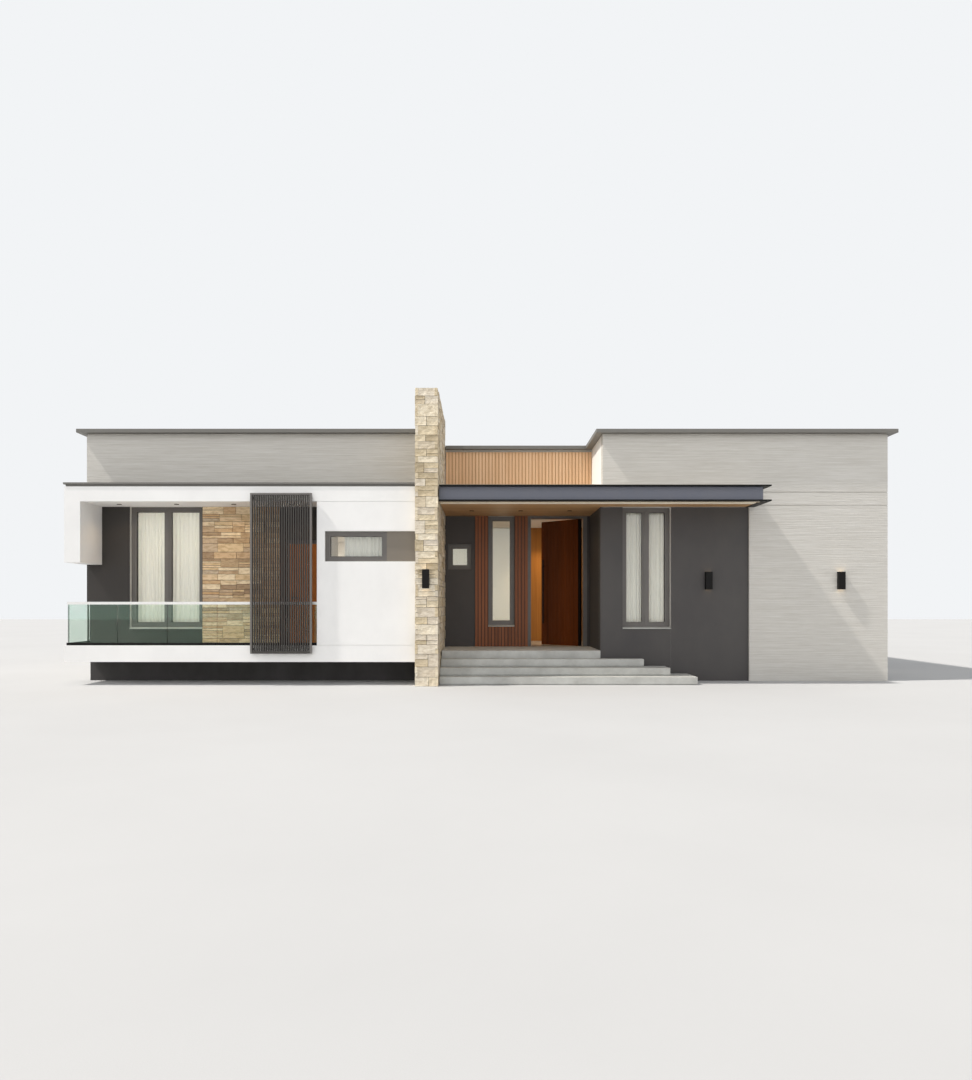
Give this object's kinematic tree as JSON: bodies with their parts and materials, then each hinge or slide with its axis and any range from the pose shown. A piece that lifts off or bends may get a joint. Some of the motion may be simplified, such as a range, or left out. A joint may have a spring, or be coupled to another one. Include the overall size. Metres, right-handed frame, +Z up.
{
  "type": "bungalow",
  "caption": "Flat-roofed single-storey house with two wings, a covered balcony with a glass balustrade and louvre screen, a stone pier, a deep canopy over the porch and a pivot door.",
  "frame": {"origin": "on the ground, mid-width of the front, in the plane of the two wings' front walls", "axes": "+X along the front to the right as seen from the street, +Y into the house, +Z up"},
  "size_m": [16.2, 10.975, 5.54],
  "materials": {
    "white_render": "matt",
    "pale_render": "matt",
    "charcoal_render": "matt",
    "concrete": "matt",
    "ledgestone": "rough",
    "slate_metal": "satin",
    "dark_metal": "satin",
    "coping_metal": "satin",
    "light_metal": "satin",
    "light_timber": "oiled",
    "dark_timber": "oiled",
    "orange_timber": "oiled",
    "soffit_timber": "oiled",
    "taupe_panel": "matt",
    "window_glass": "clear",
    "curtain": "pleated"
  },
  "bodies": {
    "house": {"balcony_curtain": "curtain", "balcony_door_frame": "dark_metal", "balcony_door_header": "charcoal_render", "balcony_kerb": "white_render", "balcony_plinth": "charcoal_render", "balcony_slab": "white_render", "balcony_stone": "ledgestone", "balcony_surround": "white_render", "bay_curtain": "curtain", "bay_front_wall": "white_render", "bay_side_wall": "white_render", "canopy": "slate_metal", "canopy_plates": "dark_metal", "canopy_soffit": "soffit_timber", "centre_parapet": "pale_render", "copings": "coping_metal", "curtain_tracks": "light_metal", "dark_front_wall": "charcoal_render", "downlights": "dark_metal", "east_wall": "pale_render", "floor_slab": "concrete", "front_door_frame": "dark_metal", "front_window_frames": "dark_metal", "front_window_glass": "window_glass", "hall_panelling": "orange_timber", "hall_wall": "white_render", "handrail": "light_metal", "left_front_wall": "charcoal_render", "left_parapet": "pale_render", "louvre_screen": "dark_metal", "lower_step": "concrete", "middle_step": "concrete", "parapet_slats": "light_timber", "porch_back_wall": "charcoal_render", "porch_corner_wall": "charcoal_render", "porch_platform": "concrete", "porch_side_wall": "charcoal_render", "porch_slats": "dark_timber", "rail_channel": "dark_metal", "rail_glass": "window_glass", "rear_wall": "pale_render", "return_parapet": "pale_render", "right_front_wall": "pale_render", "roof_slab": "concrete", "side_window_frames": "dark_metal", "side_window_glass": "window_glass", "stone_pier": "ledgestone", "strip_panel": "taupe_panel", "surround_cap": "coping_metal", "upper_step": "concrete", "wall_lights": "dark_metal", "west_wall": "pale_render", "window_sills": "concrete", "wing_curtain": "curtain"},
    "front_door": {"front_door_leaf": "dark_timber", "front_door_fittings": "dark_metal"},
    "balcony_door": {"balcony_door_leaf": "orange_timber", "balcony_door_fittings": "dark_metal"}
  },
  "joints": [
    {"name": "front_door_pivot", "type": "hinge", "parent": "house", "child": "front_door", "pos_m": [1.977, 1.85, 0.608], "axis": [0, 0, -1], "range_deg": [-45, 45]},
    {"name": "balcony_door_hinge", "type": "hinge", "parent": "house", "child": "balcony_door", "pos_m": [-3.278, 0.091, 1.665], "axis": [0, 0, -1], "range_deg": [0, 90]}
  ]
}
